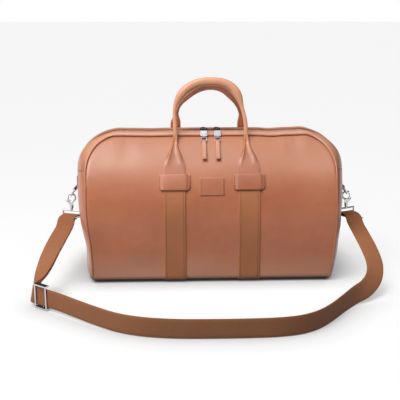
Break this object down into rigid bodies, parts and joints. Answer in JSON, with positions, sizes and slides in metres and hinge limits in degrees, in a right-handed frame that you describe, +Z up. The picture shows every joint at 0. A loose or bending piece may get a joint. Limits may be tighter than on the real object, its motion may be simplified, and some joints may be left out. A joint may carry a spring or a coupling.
{
  "type": "weekender bag",
  "caption": "Structured leather weekender bag with webbing bands, twin rolled handles, a two-way zip and a clip-on webbing shoulder strap.",
  "frame": {"origin": "centre of the base of the bag's body, on the floor it stands on", "axes": "+X along the bag's length to the viewer's right, +Y from the front face to the back, +Z up"},
  "size_m": [0.6122, 0.4909, 0.3629],
  "materials": {
    "leather": "satin",
    "webbing": "matte",
    "zip_tape": "matte",
    "zip_metal": "polished",
    "chrome": "polished",
    "lining": "matte",
    "board": "matte"
  },
  "bodies": {
    "bag": {"front_panel": "leather", "back_panel": "leather", "bottom_panel": "leather", "end_panel_left": "leather", "end_panel_right": "leather", "lining": "lining", "base_board": "board", "piping_front": "leather", "piping_back": "leather", "gusset_front_left": "leather", "gusset_front_right": "leather", "gusset_back_left": "leather", "gusset_back_right": "leather", "zip_end_left": "zip_tape", "zip_end_right": "zip_tape", "zip_chain_left": "zip_metal", "zip_chain_right": "zip_metal", "band_front_left": "webbing", "band_front_right": "webbing", "band_back_left": "webbing", "band_back_right": "webbing", "keeper_front_left": "leather", "keeper_front_right": "leather", "keeper_back_left": "leather", "keeper_back_right": "leather", "patch": "leather", "handle_tab_front_left": "leather", "handle_tab_front_right": "leather", "handle_tab_back_left": "leather", "handle_tab_back_right": "leather", "chape_left": "leather", "chape_right": "leather", "strap": "webbing", "strap_return": "webbing"},
    "mouth_front": {"gusset_front": "leather", "zip_tape_front": "zip_tape", "zip_teeth_front": "zip_metal"},
    "mouth_back": {"gusset_back": "leather", "zip_tape_back": "zip_tape", "zip_teeth_back": "zip_metal"},
    "grip_front": {"handle_front": "leather"},
    "grip_back": {"handle_back": "leather"},
    "adjuster": {"adjuster": "chrome"},
    "zip_left": {"zip_slider_left": "chrome"},
    "pull_left": {"pull_plate_left": "chrome"},
    "puller_left": {"pull_link_left": "chrome", "pull_tab_left": "leather"},
    "ring_left": {"dring_left": "chrome", "eye_left": "chrome"},
    "snap_left": {"hook_left": "chrome"},
    "trigger_left": {"gate_left": "chrome"},
    "zip_right": {"zip_slider_right": "chrome"},
    "pull_right": {"pull_plate_right": "chrome"},
    "puller_right": {"pull_link_right": "chrome", "pull_tab_right": "leather"},
    "ring_right": {"dring_right": "chrome", "eye_right": "chrome"},
    "snap_right": {"hook_right": "chrome"},
    "trigger_right": {"gate_right": "chrome"}
  },
  "joints": [
    {"name": "zip_left_slide", "type": "slide", "parent": "bag", "child": "zip_left", "axis": [-1, 0, 0], "range_m": [0, 0.14]},
    {"name": "zip_right_slide", "type": "slide", "parent": "bag", "child": "zip_right", "axis": [1, 0, 0], "range_m": [0, 0.14]},
    {"name": "mouth_front_hinge", "type": "hinge", "parent": "bag", "child": "mouth_front", "pos_m": [0, -0.0358, 0.259], "axis": [1, 0, 0], "range_deg": [0, 60], "deforming": ["gusset_front", "zip_tape_front", "zip_teeth_front"]},
    {"name": "mouth_back_hinge", "type": "hinge", "parent": "bag", "child": "mouth_back", "pos_m": [0, 0.0358, 0.259], "axis": [-1, 0, 0], "range_deg": [0, 60], "deforming": ["gusset_back", "zip_tape_back", "zip_teeth_back"]},
    {"name": "pull_left_hinge", "type": "hinge", "parent": "zip_left", "child": "pull_left", "pos_m": [-0.0125, 0, 0.2667], "axis": [-1, 0, 0], "range_deg": [0, 92]},
    {"name": "puller_left_hinge", "type": "hinge", "parent": "pull_left", "child": "puller_left", "pos_m": [-0.0125, -0.043, 0.2564], "axis": [-1, 0, 0], "range_deg": [0, 90]},
    {"name": "pull_right_hinge", "type": "hinge", "parent": "zip_right", "child": "pull_right", "pos_m": [0.0125, 0, 0.2667], "axis": [-1, 0, 0], "range_deg": [0, 92]},
    {"name": "puller_right_hinge", "type": "hinge", "parent": "pull_right", "child": "puller_right", "pos_m": [0.0125, -0.043, 0.2564], "axis": [-1, 0, 0], "range_deg": [0, 90]},
    {"name": "handle_front_hinge", "type": "hinge", "parent": "bag", "child": "grip_front", "pos_m": [0, -0.05013, 0.2538], "axis": [1, 0, 0], "range_deg": [0, 125], "deforming": ["handle_tab_front_left", "handle_tab_front_right"]},
    {"name": "handle_back_hinge", "type": "hinge", "parent": "bag", "child": "grip_back", "pos_m": [0, 0.05013, 0.2538], "axis": [-1, 0, 0], "range_deg": [0, 125], "deforming": ["handle_tab_back_left", "handle_tab_back_right"]},
    {"name": "ring_left_hinge", "type": "hinge", "parent": "bag", "child": "ring_left", "pos_m": [-0.2571, 0, 0.153], "axis": [0, 1, 0], "range_deg": [0, 55], "deforming": ["strap", "strap_return"]},
    {"name": "snap_left_swivel", "type": "hinge", "parent": "ring_left", "child": "snap_left", "pos_m": [-0.2665, 0, 0.112], "axis": [0, 0, 1], "range_deg": [-20, 20]},
    {"name": "trigger_left_hinge", "type": "hinge", "parent": "snap_left", "child": "trigger_left", "pos_m": [-0.2726, 0, 0.1295], "axis": [0, 1, 0], "range_deg": [0, 20], "stiffness_Nm_per_rad": 0.02, "springref_deg": -20.05},
    {"name": "ring_right_hinge", "type": "hinge", "parent": "bag", "child": "ring_right", "pos_m": [0.2571, 0, 0.153], "axis": [0, -1, 0], "range_deg": [0, 55]},
    {"name": "snap_right_swivel", "type": "hinge", "parent": "ring_right", "child": "snap_right", "pos_m": [0.2665, 0, 0.112], "axis": [0, 0, 1], "range_deg": [-20, 20]},
    {"name": "trigger_right_hinge", "type": "hinge", "parent": "snap_right", "child": "trigger_right", "pos_m": [0.2726, 0, 0.1295], "axis": [0, -1, 0], "range_deg": [0, 20], "stiffness_Nm_per_rad": 0.02, "springref_deg": -20.05},
    {"name": "adjuster_slide", "type": "slide", "parent": "bag", "child": "adjuster", "axis": [0.7682, -0.6402, 0], "range_m": [0, 0.06]}
  ],
  "couplings": [
    {"joint": "zip_right_slide", "follows": "zip_left_slide", "ratio": 1},
    {"joint": "mouth_front_hinge", "follows": "zip_left_slide", "rad_per_m": 7.4},
    {"joint": "mouth_back_hinge", "follows": "zip_left_slide", "rad_per_m": 7.4}
  ]
}
